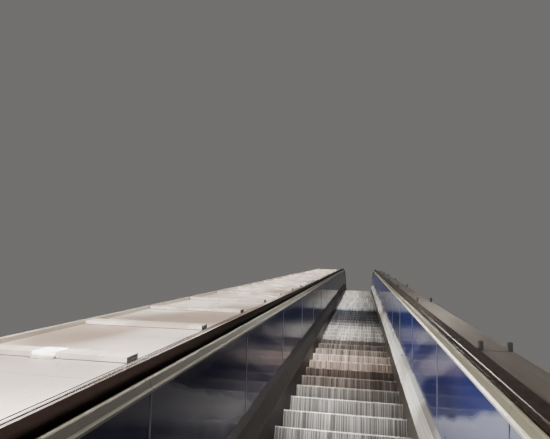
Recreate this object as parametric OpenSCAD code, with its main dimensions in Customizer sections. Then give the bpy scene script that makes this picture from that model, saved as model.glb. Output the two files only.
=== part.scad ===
/* [Layout] */
// Angle of the incline
incline = 30; // [27.3:0.1:35]
// Height from the lower landing to the upper landing
rise = 11000; // [7000:100:13000]
// Level run of steps at the lower landing, from the comb
lower_flat = 1200; // [800:50:1600]
// Level run of steps at the upper landing, to the comb
upper_flat = 1200; // [800:50:1600]
// Radius of the nosing line where the lower landing turns into the incline
lower_radius = 2000; // [1500:50:2600]
// Radius of the nosing line where the incline turns into the upper landing
upper_radius = 3600; // [2600:50:4200]
// Length of the truss from its lower end to the lower comb
lower_end_len = 2300; // [2200:50:2600]
// Length of the truss from the upper comb to its upper end
upper_end_len = 2900; // [2600:50:3400]

/* [Steps] */
// Width of a step
step_w = 1000; // [600:50:1200]
// Distance from one step to the next along the step band
step_pitch = 400; // [380:5:410]
// Gap between the rear edge of a tread and the next riser
step_gap = 4; // [3:0.5:6]
// Thickness of the tread plate with its cleats
tread_t = 30; // [24:1:40]
// Thickness of the riser plate
riser_t = 12; // [8:1:18]
// Thickness of the side frames under a tread
yoke_t = 30; // [20:1:40]
// Diameter of the rollers
roller_d = 76; // [60:1:90]
// Width of the rollers
roller_w = 24; // [18:1:30]
// Diameter of the roller axles
axle_d = 25; // [18:1:30]
// How far the chain axle lies behind the nosing
chain_back = 320; // [280:5:335]
// How far the chain axle lies below the tread
chain_drop = 95; // [90:1:110]
// How far the trailing axle lies behind the nosing
trail_back = 110; // [90:5:130]
// How far the trailing axle lies below the tread
trail_drop = 285; // [270:5:300]
// Distance from the lower comb's end of the path to the first nosing past it
step_phase = 297; // [0:1:399]

/* [Combs and landings] */
// Distance between the cleats of the treads
cleat_pitch = 9; // [8:0.5:11]
// Thickness of a comb tooth
tooth_t = 4; // [3:0.5:5]
// Length of a comb tooth
tooth_len = 60; // [40:5:80]
// Length of a comb plate from its teeth's tips to its rear edge
comb_len = 460; // [440:10:520]
// Thickness of a comb plate
comb_t = 12; // [8:1:16]
// Thickness of a floor plate
floor_t = 20; // [14:1:30]
// Width of the frame round the floor plates
frame_w = 50; // [40:5:70]
// Depth of the beams under the floor plates
beam_h = 70; // [50:5:100]

/* [Balustrade] */
// Gap between the steps and a skirt
skirt_gap = 4; // [3:0.5:6]
// Thickness of a skirt plate
skirt_t = 8; // [4:1:12]
// Height of a skirt above the nosing line
skirt_h = 135; // [100:5:160]
// Gap between the foot of a skirt and the chain axles
skirt_clear = 8; // [5:1:12]
// Width of the balustrade's foot, from skirt to interior panel
foot_w = 76; // [66:1:90]
// Thickness of the inner deck sheet
inner_deck_t = 6; // [4:1:10]
// Height of the foot of an interior panel above the nosing line
panel_foot = 287; // [278:1:290]
// Height of the top of an interior panel above the nosing line
panel_top = 800; // [780:5:805]
// Thickness of an interior panel
panel_t = 20; // [12:1:25]
// Length of an interior panel
panel_len = 1400; // [1000:50:2000]
// Gap at the joints between panels, decks and trims
joint_gap = 3; // [2:0.5:5]
// Height of the trim over the interior panels
trim_h = 45; // [41:1:50]
// Width of the handrail
rail_w = 80; // [76:1:84]
// Thickness of the handrail
rail_h = 34; // [30:1:38]
// Height of the top of the handrail above the nosing line
rail_top = 873; // [869:1:880]
// Gap between the handrail and its guide
rail_clear = 0.5; // [0.3:0.1:0.8]
// Radius of the middle of the handrail round a newel
newel_r = 270; // [262:1:272]
// How far a newel's turn starts before the comb
newel_out = 650; // [500:10:700]
// Thickness of the exterior side sheets
side_t = 10; // [6:1:14]
// Thickness of an upright along the balustrade
upright_t = 40; // [30:1:60]

/* [Decks] */
// Width of the wide outer deck on the left
left_deck_w = 860; // [400:10:900]
// Width of the narrow outer deck on the right
right_deck_w = 135; // [100:5:200]
// Thickness of the outer deck sheet
deck_t = 8; // [5:1:12]
// Height of the outer decks above the nosing line
deck_n = 825; // [820:1:831]
// Depth of the turned-down edge of an outer deck
deck_lip = 40; // [25:1:60]
// Distance between the cross bars on the wide deck
bar_pitch = 920; // [600:10:1200]
// Width of a cross bar along the deck
bar_w = 95; // [60:5:120]
// Height of a cross bar
bar_h = 24; // [15:1:35]
// Thickness of the gusset plates under the wide deck
gusset_t = 12; // [8:1:20]

/* [Truss] */
// Depth of the truss below the nosing line
truss_depth = 1120; // [1080:10:1250]
// Depth of the top of the truss below the nosing line
chord_top = 200; // [190:5:220]
// Room between the plates that carry the tracks and the side frames
truss_room = 122; // [112:1:180]
// Thickness of a chord
chord = 90; // [80:5:110]
// Thickness of a post
post = 60; // [50:5:80]
// Thickness of a diagonal
brace = 50; // [40:5:60]
// Longest truss bay
bay_len = 1400; // [1250:50:1700]
// Thickness of the sheets round the truss ends and under the truss
casing_t = 8; // [6:1:12]
// Height of the floor plates above the bearing faces of the support brackets
bearing_drop = 170; // [150:5:220]
// Length of a support bracket's bearing leg
bearing_len = 200; // [160:10:260]
// Thickness of a support bracket
bearing_t = 25; // [20:1:30]
// Diameter of the bolt holes in the support brackets
bolt_d = 26; // [22:1:30]
// Distance between the bolt holes in a support bracket
bolt_gap = 1200; // [1000:10:1400]
// Height of the running tracks
track_h = 40; // [30:1:50]
// Width of the running tracks
track_w = 34; // [28:1:38]
// Thickness of the plates that carry the tracks
plate_t = 16; // [10:1:20]

/* [Hidden] */

// The nosing line, as a path from the lower comb to the upper comb
incline_len = (rise - (lower_radius + upper_radius) * (1 - cos(incline))) / sin(incline);
s1 = lower_flat;
s2 = s1 + lower_radius * incline * PI / 180;
s3 = s2 + incline_len;
s4 = s3 + upper_radius * incline * PI / 180;
s5 = s4 + upper_flat;
uphill = [cos(incline), sin(incline)];
square_up = [-sin(incline), cos(incline)];
truss_start = bearing_len / 2;
p0 = [truss_start + lower_end_len, bearing_drop];
p1 = p0 + [lower_flat, 0];
c_low = p1 + [0, lower_radius];
p2 = c_low - lower_radius * square_up;
p3 = p2 + incline_len * uphill;
c_up = p3 - upper_radius * square_up;
p4 = c_up + [0, upper_radius];
p5 = p4 + [upper_flat, 0];
truss_end = p5[0] + upper_end_len;

// Place on the path at a distance s from the lower comb, and its slope there
function slope(s) =
    s < s1 ? 0 :
    s < s2 ? (s - s1) / lower_radius * 180 / PI :
    s < s3 ? incline :
    s < s4 ? (s4 - s) / upper_radius * 180 / PI : 0;
function path(s) =
    s < s1 ? p0 + [s, 0] :
    s < s2 ? c_low + lower_radius * [sin(slope(s)), -cos(slope(s))] :
    s < s3 ? p2 + (s - s2) * uphill :
    s < s4 ? c_up + upper_radius * [-sin(slope(s)), cos(slope(s))] :
    p4 + [s - s4, 0];

// Places a form, drawn with its origin on the nosing line, at s and along the path's slope
module at(s)
    translate([0, path(s)[0], path(s)[1]]) rotate([slope(s), 0, 0]) children();

// A section drawn in x and height, made solid from a to b along y
module along_y(a, b)
    translate([0, b, 0]) rotate([90, 0, 0]) linear_extrude(b - a) children();

// A section drawn in y and height, made solid over a width centred on x = 0
module along_x(w)
    translate([-w / 2, 0, 0]) rotate([90, 0, 90]) linear_extrude(w) children();

// Sweeps a section, drawn in x and height over the nosing line, from a to b
module sweep(a, b) {
    if (a < s1)
        translate([0, p0[0], p0[1]]) along_y(a, min(b, s1)) children();
    if (a < s2 && b > s1)
        translate([0, c_low[0], c_low[1]]) rotate([0, 90, 0])
            rotate([0, 0, slope(max(a, s1))])
                rotate_extrude(angle = (min(b, s2) - max(a, s1)) / lower_radius * 180 / PI, $fn = 180)
                    translate([lower_radius, 0]) rotate(90) children();
    if (a < s3 && b > s2)
        translate([0, p2[0], p2[1]]) rotate([incline, 0, 0])
            along_y(max(a, s2) - s2, min(b, s3) - s2) children();
    if (a < s4 && b > s3)
        translate([0, c_up[0], c_up[1]]) rotate([0, -90, 0])
            rotate([0, 0, -(s4 - max(a, s3)) / upper_radius * 180 / PI])
                rotate_extrude(angle = (min(b, s4) - max(a, s3)) / upper_radius * 180 / PI, $fn = 180)
                    translate([upper_radius, 0]) rotate(-90) children();
    if (b > s4)
        translate([0, p4[0] - s4, p4[1]]) along_y(max(a, s4), b) children();
}

// Joints at a fixed spacing in each stretch of the path, also where its slope starts to change
function cuts(a, b, l) = [for (s = a; s == a || s < b - l / 3; s = s + l) s];
function joints(a, b, l) = concat(
    cuts(a, s1, l), [s1, (s1 + s2) / 2], cuts(s2, s3, l), [s3, (s3 + s4) / 2], cuts(s4, b, l), [b]
);
module pieces(list, gap = joint_gap)
    for (i = [0 : len(list) - 2])
        sweep(list[i] + gap / 2, list[i + 1] - gap / 2) children();

balustrade_start = -newel_out;
balustrade_end = s5 + newel_out;
panel_joints = joints(balustrade_start, balustrade_end, panel_len);
deck_joints = joints(balustrade_start, balustrade_end, 2 * panel_len);

// The right-hand form, mirrored for the left
module on(side)
    mirror([side < 0 ? 1 : 0, 0, 0]) children();

// One step, its nosing edge on the x axis: a level tread, and a riser that curves round the
// rear edge of the tread below, so that the gap stays the same while the steps part
riser_turn = incline + 1;
riser_h = step_pitch * sin(riser_turn);
riser_in = step_pitch * (1 - cos(riser_turn));
module step_section()
    intersection() {
        difference() {
            translate([step_pitch, 0]) circle(r = step_pitch, $fn = 180);
            difference() {
                translate([step_pitch, 0]) circle(r = step_pitch - riser_t, $fn = 180);
                translate([0, -tread_t]) square([2 * step_pitch, tread_t]);
            }
        }
        polygon([
            [-1, 0], [-1, -riser_h], [riser_in + riser_t, -riser_h], [step_pitch / 2, -tread_t],
            [step_pitch - step_gap, -tread_t], [step_pitch - step_gap, 0]
        ]);
    }

// Side frame under the tread, from the riser to both axles
yoke_rim = 10;
yoke_edge = axle_d / 2 + yoke_rim;
yoke_in = 60;
module yoke()
    polygon([
        [riser_t, -tread_t + 1], [riser_in + riser_t / 2, -riser_h + yoke_rim],
        [trail_back - yoke_edge, -trail_drop - yoke_edge / 2],
        [trail_back + yoke_edge, -trail_drop - yoke_edge / 2],
        [chain_back + yoke_edge, -chain_drop - yoke_edge / 2],
        [chain_back + yoke_edge, -tread_t + 1]
    ]);

module round_bar(back, drop, d, w)
    translate([-w / 2, back, -drop]) rotate([0, 90, 0]) cylinder(d = d, h = w, $fn = 48);

roller_out = 20;
roller_room = 18;
roller_fit = 0.3;
plate_room = 24;
trail_x = step_w / 2 + roller_out;
chain_x = trail_x + roller_w + roller_room;
plate_x = chain_x + roller_w / 2 + plate_room;
frame_x = plate_x + truss_room;
truss_w = 2 * (frame_x + chord);
module one_step() {
    along_x(step_w) step_section();
    for (x = [-step_w / 2 + yoke_in, step_w / 2 - yoke_in])
        translate([x, 0, 0]) along_x(yoke_t) yoke();
    round_bar(chain_back, chain_drop, axle_d, 2 * chain_x);
    round_bar(trail_back, trail_drop, axle_d, 2 * trail_x);
    for (k = [-1, 1]) {
        translate([k * chain_x, 0, 0])
            round_bar(chain_back, chain_drop, roller_d - 2 * roller_fit, roller_w);
        translate([k * trail_x, 0, 0])
            round_bar(trail_back, trail_drop, roller_d - 2 * roller_fit, roller_w);
    }
}

first_step = step_phase - step_pitch;
module steps()
    color("silver")
        for (s = [first_step : step_pitch : s5 - 1])
            translate([0, path(s)[0], path(s)[1]]) one_step();

// The knees of the truss lines, where the tangents of the nosing line's bends meet
half = incline / 2;
k1 = p1 + [lower_radius * tan(half), 0];
k2 = p4 - [upper_radius * tan(half), 0];
knee_len = norm(k2 - k1);
function knee(k, n) = k + [-n * tan(half), n];

// Point at c from the lower knee along the truss lines, and n over them
function truss_point(c, n) =
    c < 0 ? k1 + [c, n] :
    c == 0 ? knee(k1, n) :
    c < knee_len ? k1 + c * uphill + n * square_up :
    c == knee_len ? knee(k2, n) :
    k2 + [c - knee_len, n];

// The returning steps hang upside down with their treads in one plane
return_h = 250;
return_n = -truss_depth + return_h;
return_from = 1000;
return_left = 1300;
return_to = knee_len - return_left;
module return_steps()
    color("gray")
        for (c = [return_from : step_pitch : return_to])
            translate([0, k1[0], k1[1]]) rotate([incline, 0, 0])
                translate([0, c, return_n]) rotate([180, 0, 0]) one_step();

// Tracks under the rollers: the nosing line's own shape, moved to each axle
track_start = -740;
track_past = 100;
track_joints = joints(track_start, s5 + track_past, 4 * panel_len);
module track(back, drop, x)
    for (k = [-1, 1])
        translate([k * x, back, -drop])
            pieces(track_joints)
                translate([-track_w / 2, -roller_d / 2 - track_h]) square([track_w, track_h]);

// Splice plates on the outer faces of the tracks, over each joint
splice_t = 6;
splice_len = 120;
module track_splices(back, drop, x)
    for (k = [-1, 1], i = [1 : len(track_joints) - 2])
        translate([0, back, -drop])
            at(track_joints[i]) on(k)
                translate([x + track_w / 2, -splice_len / 2, -roller_d / 2 - track_h])
                    cube([splice_t, splice_len, track_h * 3 / 4]);

module tracks()
    color("dimgray") {
        track(chain_back, chain_drop, chain_x);
        track(trail_back, trail_drop, trail_x);
    }

return_stop = 600;
module return_tracks()
    color("dimgray")
        for (k = [-1, 1], r = [[chain_x, chain_drop], [trail_x, trail_drop]])
            translate([k * r[0], k1[0], k1[1]]) rotate([incline, 0, 0])
                along_y(return_from - return_stop, return_to + return_stop)
                    translate([-track_w / 2, return_n + r[1] - roller_d / 2 - track_h])
                        square([track_w, track_h]);

// Truss stations, where posts, cross beams and track plates stand
bays = ceil(knee_len / bay_len);
bay = knee_len / bays;
casing_from = 300;
post_shift = 100;
lattice_start = -(k1[0] - p0[0]) - casing_from;
lattice_end = knee_len + (p5[0] - k2[0]) + casing_from;
stations = concat(
    [lattice_start + post / 2, lattice_start / 2],
    [for (i = [0 : bays]) i * bay],
    [(knee_len + lattice_end) / 2 + post_shift, lattice_end - post / 2]
);
splice_a = 2 + round(bays / 3);
splice_b = 2 + round(2 * bays / 3);

module bar(a, b, w)
    translate(a) rotate(atan2(b[1] - a[1], b[0] - a[0])) translate([0, -w / 2]) square([norm(b - a), w]);

top_n = -chord_top - chord / 2;
bottom_n = -truss_depth + chord / 2;

// A chord between two places along the truss, with its knees mitred
module chord_line(a, b, n) {
    k = concat([a], a < 0 && b > 0 ? [0] : [], a < knee_len && b > knee_len ? [knee_len] : [], [b]);
    polygon(concat(
        [for (c = k) truss_point(c, n - chord / 2)],
        [for (i = [len(k) - 1 : -1 : 0]) truss_point(k[i], n + chord / 2)]
    ));
}

// One section of a side frame, between the splices at stations i and j
module frame_section(i, j) {
    a = stations[i] + (i == 0 ? -post / 2 : joint_gap / 2);
    b = stations[j] + (j == len(stations) - 1 ? post / 2 : -joint_gap / 2);
    chord_line(a, b, top_n);
    chord_line(a, b, bottom_n);
    for (m = [i : j]) {
        aside = m == i && i > 0 ? 1 : m == j && j < len(stations) - 1 ? -1 : 0;
        c = stations[m] + aside * (post + joint_gap) / 2;
        bar(truss_point(c, bottom_n), truss_point(c, top_n), post);
    }
    for (m = [i : j - 1])
        bar(truss_point(stations[m], bottom_n), truss_point(stations[m + 1], top_n), brace);
}

module truss_frame(side)
    on(side)
        translate([truss_w / 2 - chord / 2, 0, 0])
            for (e = [[0, splice_a], [splice_a, splice_b], [splice_b, len(stations) - 1]])
                along_x(chord)
                    frame_section(e[0], e[1]);

module left_truss_frame() color("slategray") truss_frame(-1);
module right_truss_frame() color("slategray") truss_frame(1);

// Places a form at a station of the truss, square to its lines
module at_station(c) {
    p = truss_point(c, 0);
    turn = c < 0 || c > knee_len ? 0 : c == 0 || c == knee_len ? half : incline;
    translate([0, p[0], p[1]]) rotate([turn, 0, 0]) children();
}

// Cross beams between the side frames at the lower chords
module cross_beams()
    color("slategray")
        for (c = stations)
            at_station(c) along_y(-post / 2, post / 2)
                translate([-frame_x, bottom_n / (c == 0 || c == knee_len ? cos(half) : 1) - post / 2])
                    square([2 * frame_x, post]);

// Sheet under the lower chords
module soffit()
    color("gray") {
        bends = [lattice_start, 0, knee_len, lattice_end];
        for (i = [0 : 2]) {
            n = max(1, round((bends[i + 1] - bends[i]) / (3 * bay)));
            marks = [for (m = [0 : n]) bends[i] + (bends[i + 1] - bends[i]) * m / n];
            for (m = [0 : n - 1])
                along_x(truss_w)
                    polygon([
                        truss_point(marks[m] + (m > 0 ? joint_gap : 0), -truss_depth),
                        truss_point(marks[m] + (m > 0 ? joint_gap : 0), -truss_depth - casing_t),
                        truss_point(marks[m + 1], -truss_depth - casing_t),
                        truss_point(marks[m + 1], -truss_depth)
                    ]);
        }
    }

// Plates from the side frames that carry the tracks, with a seat for each one
seat_h = 22;
module track_plate(chain_n, trail_n, back)
    polygon(concat(
        [[frame_x, chain_n], [chain_x - track_w / 2, chain_n], [chain_x - track_w / 2, chain_n - seat_h],
        [plate_x, chain_n - seat_h], [plate_x, trail_n], [trail_x - track_w / 2, trail_n],
        [trail_x - track_w / 2, trail_n - seat_h], [plate_x, trail_n - seat_h]],
        back ? [
            [plate_x, return_seat(trail_drop)], [trail_x - track_w / 2, return_seat(trail_drop)],
            [trail_x - track_w / 2, return_seat(trail_drop) - seat_h],
            [plate_x, return_seat(trail_drop) - seat_h],
            [plate_x, return_seat(chain_drop)], [chain_x - track_w / 2, return_seat(chain_drop)],
            [chain_x - track_w / 2, return_seat(chain_drop) - seat_h],
            [frame_x, return_seat(chain_drop) - seat_h]
        ] : [[frame_x, trail_n - seat_h]]
    ));
function return_seat(drop) = return_n + drop - roller_d / 2 - track_h;

// Height of a moved track's underside, square to the incline or level
under = roller_d / 2 + track_h;
function sloped(back, drop) = -back * sin(incline) - drop * cos(incline) - under;
module track_plates() {
    color("slategray") {
        track_splices(chain_back, chain_drop, chain_x);
        track_splices(trail_back, trail_drop, trail_x);
    }
    color("slategray")
        for (k = [-1, 1], m = [0 : len(stations) - 1]) {
            c = stations[m];
            if (c < 0 || c > knee_len)
                at_station(c) on(k) along_y(-plate_t / 2, plate_t / 2)
                    track_plate(-chain_drop - under, -trail_drop - under, false);
            else if (c > 0 && c < knee_len)
                at_station(c) on(k) along_y(-plate_t / 2, plate_t / 2)
                    track_plate(sloped(chain_back, chain_drop), sloped(trail_back, trail_drop), true);
        }
}

// Comb plate with one tooth between each two cleats, its teeth's tips at y = 0
tooth_n = floor(step_w / cleat_pitch) - 1;
comb_lift = 2;
comb_in = 30;
tip_t = 1.5;
module comb() {
    translate([-step_w / 2, -comb_len, comb_lift]) cube([step_w, comb_len - tooth_len, comb_t]);
    for (i = [0 : tooth_n - 1])
        translate([(i - (tooth_n - 1) / 2) * cleat_pitch, 0, 0])
            along_x(tooth_t) polygon([
                [-tooth_len - 1, comb_lift], [-tooth_len - 1, comb_lift + comb_t],
                [0, comb_lift + tip_t], [0, comb_lift]
            ]);
}

// Places a form at the lower comb, or turned round at the upper one
module at_landing(low)
    translate([0, low ? p0[0] : p5[0], low ? p0[1] : p5[1]]) rotate([0, 0, low ? 0 : 180]) children();

module lower_comb() color("gold") at_landing(true) translate([0, comb_in, 0]) comb();
module upper_comb() color("gold") at_landing(false) translate([0, comb_in, 0]) comb();

// Floor plates and the frame and beams that they rest on, y measured from the comb
floor_top = comb_lift + comb_t;
comb_rear = comb_in - comb_len;
newel_foot = 60;
newel_line = -newel_out - newel_foot;
lid_fit = 2;
module floor_plates(len) {
    rear = -len + frame_w;
    translate([-step_w / 2, newel_line + lid_fit, floor_top - floor_t])
        cube([step_w, comb_rear - newel_line - 2 * lid_fit, floor_t]);
    for (i = [0, 1]) {
        far = newel_line + (rear - newel_line) * (i + 1) / 2;
        near = newel_line + (rear - newel_line) * i / 2;
        translate([-truss_w / 2 + frame_w + lid_fit, far + lid_fit, floor_top - floor_t])
            cube([truss_w - 2 * frame_w - 2 * lid_fit, near - far - 2 * lid_fit, floor_t]);
    }
}

module floor_frame(len) {
    bottom = floor_top - floor_t;
    rear = -len + frame_w;
    mid = (newel_line + rear) / 2;
    difference() {
        translate([-truss_w / 2, -len, bottom])
            cube([truss_w, len + newel_line, floor_t]);
        translate([-truss_w / 2 + frame_w, rear, bottom - 1])
            cube([truss_w - 2 * frame_w, len + newel_line, floor_t + 2]);
    }
    for (y = [rear - frame_w / 2, mid - frame_w / 2, newel_line - frame_w / 2, comb_rear - frame_w / 2])
        translate([-truss_w / 2 + casing_t, y, bottom - beam_h])
            cube([truss_w - 2 * casing_t, frame_w, beam_h]);
    translate([-step_w / 2, comb_rear, bottom - 1])
        cube([step_w, frame_w / 2, comb_lift - bottom + 1]);
    for (k = [0, 1])
        mirror([k, 0, 0]) {
            translate([step_w / 2 + lid_fit, newel_line - 1, bottom])
                cube([truss_w / 2 - step_w / 2 - lid_fit, -newel_out - newel_line + 1, floor_t]);
            translate([side_x + lid_fit, newel_line - 1, bottom])
                cube([truss_w / 2 - side_x - lid_fit, -casing_from - newel_line + 1, floor_t]);
        }
}

module lower_floor_plates() color("darkgray") at_landing(true) floor_plates(lower_end_len);
module upper_floor_plates() color("darkgray") at_landing(false) floor_plates(upper_end_len);
module lower_floor_frame() color("gray") at_landing(true) floor_frame(lower_end_len);
module upper_floor_frame() color("gray") at_landing(false) floor_frame(upper_end_len);

// Sections of the balustrade, x from the centre line and n over the nosing line
rail_in = 60;
trim_gap = 2;
strip_gap = 10;
side_in = 70;
skirt_x = step_w / 2 + skirt_gap;
panel_x = skirt_x + foot_w;
rail_x = panel_x + rail_in;
trim_x = rail_x - rail_w / 2 - trim_gap;
strip_x = rail_x + rail_w / 2 + strip_gap;
side_x = strip_x + side_in;
rail_mid = rail_top - rail_h / 2;
newel_n = rail_mid - newel_r;

// Skirts, down to just over the chain axles all the way
skirt_deep = 260;
module skirt(side)
    on(side)
        for (i = [0 : len(deck_joints) - 2]) {
            a = deck_joints[i] + joint_gap / 2;
            b = deck_joints[i + 1] - joint_gap / 2;
            intersection() {
                sweep(a, b)
                    translate([skirt_x, -skirt_deep]) square([skirt_t, skirt_deep + skirt_h]);
                translate([0, chain_back, -chain_drop])
                    sweep(a - 2 * chain_back, b + chain_back)
                        translate([skirt_x - 1, axle_d / 2 + skirt_clear])
                            square([skirt_t + 2, skirt_deep + 2 * skirt_h]);
            }
        }

module left_skirt() color("dimgray") skirt(-1);
module right_skirt() color("dimgray") skirt(1);

// Inner deck: a steep lip on the skirt, a sloping face and a bevel up to the interior panel's seat
lip_x = 10;
lip_n = 18;
bevel_x = 30;
bevel_n = 34;
fold = 2;
module inner_deck_section()
    polygon([
        [skirt_x, skirt_h], [skirt_x + lip_x, skirt_h + lip_n], [panel_x - bevel_x, panel_foot - bevel_n],
        [panel_x, panel_foot], [panel_x + panel_t, panel_foot],
        [panel_x + panel_t, panel_foot - inner_deck_t], [panel_x + inner_deck_t / 2, panel_foot - inner_deck_t],
        [panel_x - bevel_x + inner_deck_t, panel_foot - bevel_n - fold],
        [skirt_x + lip_x + inner_deck_t, skirt_h + lip_n - fold], [skirt_x + skirt_t, skirt_h]
    ]);

module inner_deck(side) on(side) pieces(deck_joints) inner_deck_section();
module left_inner_deck() color("gray") inner_deck(-1);
module right_inner_deck() color("lightgray") inner_deck(1);

// Turns a section round a newel, from the top to the underside
module turn(low)
    translate([0, low ? p0[0] - newel_out : p5[0] + newel_out, (low ? p0[1] : p5[1]) + newel_n])
        rotate([0, -90, 0]) rotate([0, 0, low ? 180 : 0])
            rotate_extrude(angle = 180, $fn = 96) translate([-newel_n, 0]) rotate(-90) children();

// Half a drum at a newel, between two places across the machine
module half_drum(low, x0, x1, r)
    translate([x0, low ? p0[0] - newel_out : p5[0] + newel_out, (low ? p0[1] : p5[1]) + newel_n])
        rotate([0, 90, 0])
            intersection() {
                cylinder(r = r - 0.3, h = x1 - x0, $fn = 96);
                translate([-r, low ? -r : 0, 0]) cube([2 * r, r, x1 - x0]);
            }

// Interior panels with a half round cheek on each newel
cheek_r = panel_top - newel_n;
module interior_panels(side)
    on(side) {
        pieces(panel_joints) translate([panel_x, panel_foot]) square([panel_t, panel_top - panel_foot]);
        for (low = [true, false])
            half_drum(low, panel_x, panel_x + panel_t, cheek_r);
    }

module left_interior_panels() color("midnightblue") interior_panels(-1);
module right_interior_panels() color("midnightblue") interior_panels(1);

// Trim between the panels and the handrail, also round the newels
trim_lip = 10;
trim_step = [9, 14];
trim_edge = [12, 9];
trim_round = 4;
module trim_section()
    polygon([
        [panel_x - trim_lip, panel_top], [panel_x - trim_lip, panel_top + trim_step[0]],
        [panel_x, panel_top + trim_step[1]], [trim_x - trim_edge[0], panel_top + trim_h - trim_round],
        [trim_x - trim_edge[1], panel_top + trim_h], [trim_x, panel_top + trim_h], [trim_x, panel_top]
    ]);

module top_trim(side)
    on(side) {
        pieces(deck_joints) trim_section();
        for (low = [true, false])
            turn(low) trim_section();
    }

module left_top_trim() color("tan") top_trim(-1);
module right_top_trim() color("tan") top_trim(1);

// Guide that the handrail slides on: a base, a raised edge beside the outer deck and a T-shaped rib
guide_base = 8;
rib_w = 40;
head_w = 52;
head_t = 10;
head_rise = 5;
head_top = rail_mid + head_rise;
module guide_section()
    polygon([
        [trim_x, panel_top], [trim_x, panel_top + guide_base], [rail_x - rib_w / 2, panel_top + guide_base],
        [rail_x - rib_w / 2, head_top - head_t], [rail_x - head_w / 2, head_top - head_t],
        [rail_x - head_w / 2, head_top], [rail_x + head_w / 2, head_top],
        [rail_x + head_w / 2, head_top - head_t], [rail_x + rib_w / 2, head_top - head_t],
        [rail_x + rib_w / 2, panel_top + guide_base], [strip_x - guide_base, panel_top + guide_base],
        [strip_x - guide_base, deck_n], [strip_x, deck_n], [strip_x, panel_top]
    ]);

module handrail_guide(side)
    on(side) {
        pieces(deck_joints) guide_section();
        for (low = [true, false])
            turn(low) guide_section();
    }

module left_handrail_guide() color("gray") handrail_guide(-1);
module right_handrail_guide() color("gray") handrail_guide(1);

// Handrail section about its middle: rounded shoulders over the guide's head, lips under it
function bow(x, r, a0, a1, n) = [
    for (i = [0 : n])
        let (a = a0 + (a1 - a0) * i / n)
            [x, 0] + r * [cos(a), sin(a)]
];
groove_w = head_w / 2 + rail_clear;
groove_top = head_top - rail_mid + rail_clear;
groove_low = head_top - rail_mid - head_t - rail_clear;
mouth_w = rib_w / 2 + rail_clear;
module rail_section()
    polygon(concat(
        bow((rail_w - rail_h) / 2, rail_h / 2, -90, 90, 6),
        bow((rail_h - rail_w) / 2, rail_h / 2, 90, 270, 6),
        [
            [-mouth_w, -rail_h / 2], [-mouth_w, groove_low], [-groove_w, groove_low], [-groove_w, groove_top],
            [groove_w, groove_top], [groove_w, groove_low], [mouth_w, groove_low], [mouth_w, -rail_h / 2]
        ]
    ));

// The handrail's loop: out along the top, round both newels and back inside the balustrade
return_rail_n = rail_mid - 2 * newel_r;
splice = 0.2;
rail_lengths = [balustrade_start, s1, s2, s3, s4, balustrade_end];
module handrail(side)
    on(side) {
        pieces(rail_lengths, splice) translate([rail_x, rail_mid]) rail_section();
        pieces(rail_lengths, splice) translate([rail_x, return_rail_n]) rotate(180) rail_section();
        for (low = [true, false])
            turn(low) translate([rail_x, rail_mid]) rail_section();
    }

module left_handrail() color("#202020") handrail(-1);
module right_handrail() color("#202020") handrail(1);

// Newels: the plate that closes the balustrade's end, and the drum behind the cheek
plate_end = 10;
rail_gap = 3;
module end_plate()
    polygon([
        [skirt_x, floor_top], [skirt_x, skirt_h], [skirt_x + lip_x, skirt_h + lip_n],
        [panel_x - bevel_x, panel_foot - bevel_n], [panel_x, panel_foot - 1], [strip_x, panel_foot - 1],
        [strip_x, deck_n], [side_x, deck_n], [side_x, floor_top]
    ]);

module newels(side)
    on(side)
        for (low = [true, false]) {
            at_landing(low)
                mirror([low ? 0 : 1, 0, 0])
                    along_y(-newel_out - plate_end, -newel_out) end_plate();
            half_drum(low, panel_x + panel_t, strip_x, cheek_r);
        }

module left_newels() color("silver") newels(-1);
module right_newels() color("silver") newels(1);

// Blocks round the handrail where it goes into the balustrade under a newel's drum
inlet_len = 60;
module handrail_inlets(side)
    on(side)
        for (low = [true, false])
            at_landing(low)
                mirror([low ? 0 : 1, 0, 0])
                    along_y(-newel_out, -newel_out + inlet_len)
                        difference() {
                            translate([panel_x + panel_t, panel_foot])
                                square([strip_x - panel_x - panel_t, newel_n - cheek_r - panel_foot]);
                            translate([rail_x - rail_w / 2 - rail_gap, return_rail_n - rail_h / 2 - rail_gap])
                                square([rail_w + 2 * rail_gap, rail_h + 2 * rail_gap]);
                        }

module left_handrail_inlets() color("#303030") handrail_inlets(-1);
module right_handrail_inlets() color("#303030") handrail_inlets(1);

// Outer decks, flush with the guide's edge, with a turned-down outer edge
module outer_deck(a, w)
    polygon([
        [a, deck_n - deck_t], [a, deck_n], [side_x + w, deck_n],
        [side_x + w, deck_n - deck_lip], [side_x + w - deck_t, deck_n - deck_lip],
        [side_x + w - deck_t, deck_n - deck_t]
    ]);

// The wide deck's two cover strips beside the handrail, with open seams between them
seam = 3;
cover_w = [88, 22];
cover_x = strip_x + cover_w[0] + seam;
sheet_x = cover_x + cover_w[1] + seam;
module cover_strips() {
    translate([strip_x, deck_n - deck_t]) square([cover_w[0], deck_t]);
    translate([cover_x, deck_n - deck_t]) square([cover_w[1], deck_t]);
}

module left_outer_deck()
    color("gainsboro") on(-1) {
        pieces(deck_joints) cover_strips();
        pieces(deck_joints) outer_deck(sheet_x, left_deck_w);
    }
module right_outer_deck() color("gray") on(1) pieces(deck_joints) outer_deck(strip_x, right_deck_w);

// Stops on the narrow deck that keep bags from sliding down it
stop_w = 20;
stop_len = 24;
stop_h = 45;
stop_start = 1020;
stop_pitch = 2 * panel_len;
stop_x = [side_x - stop_w * 3 / 2, side_x + right_deck_w - stop_w * 5 / 4];
module right_deck_stops()
    color("#202020")
        for (s = [s2 + stop_start : stop_pitch : s3 - stop_len], x = stop_x)
            at(s) translate([x, 0, deck_n]) cube([stop_w, stop_len, stop_h]);

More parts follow.
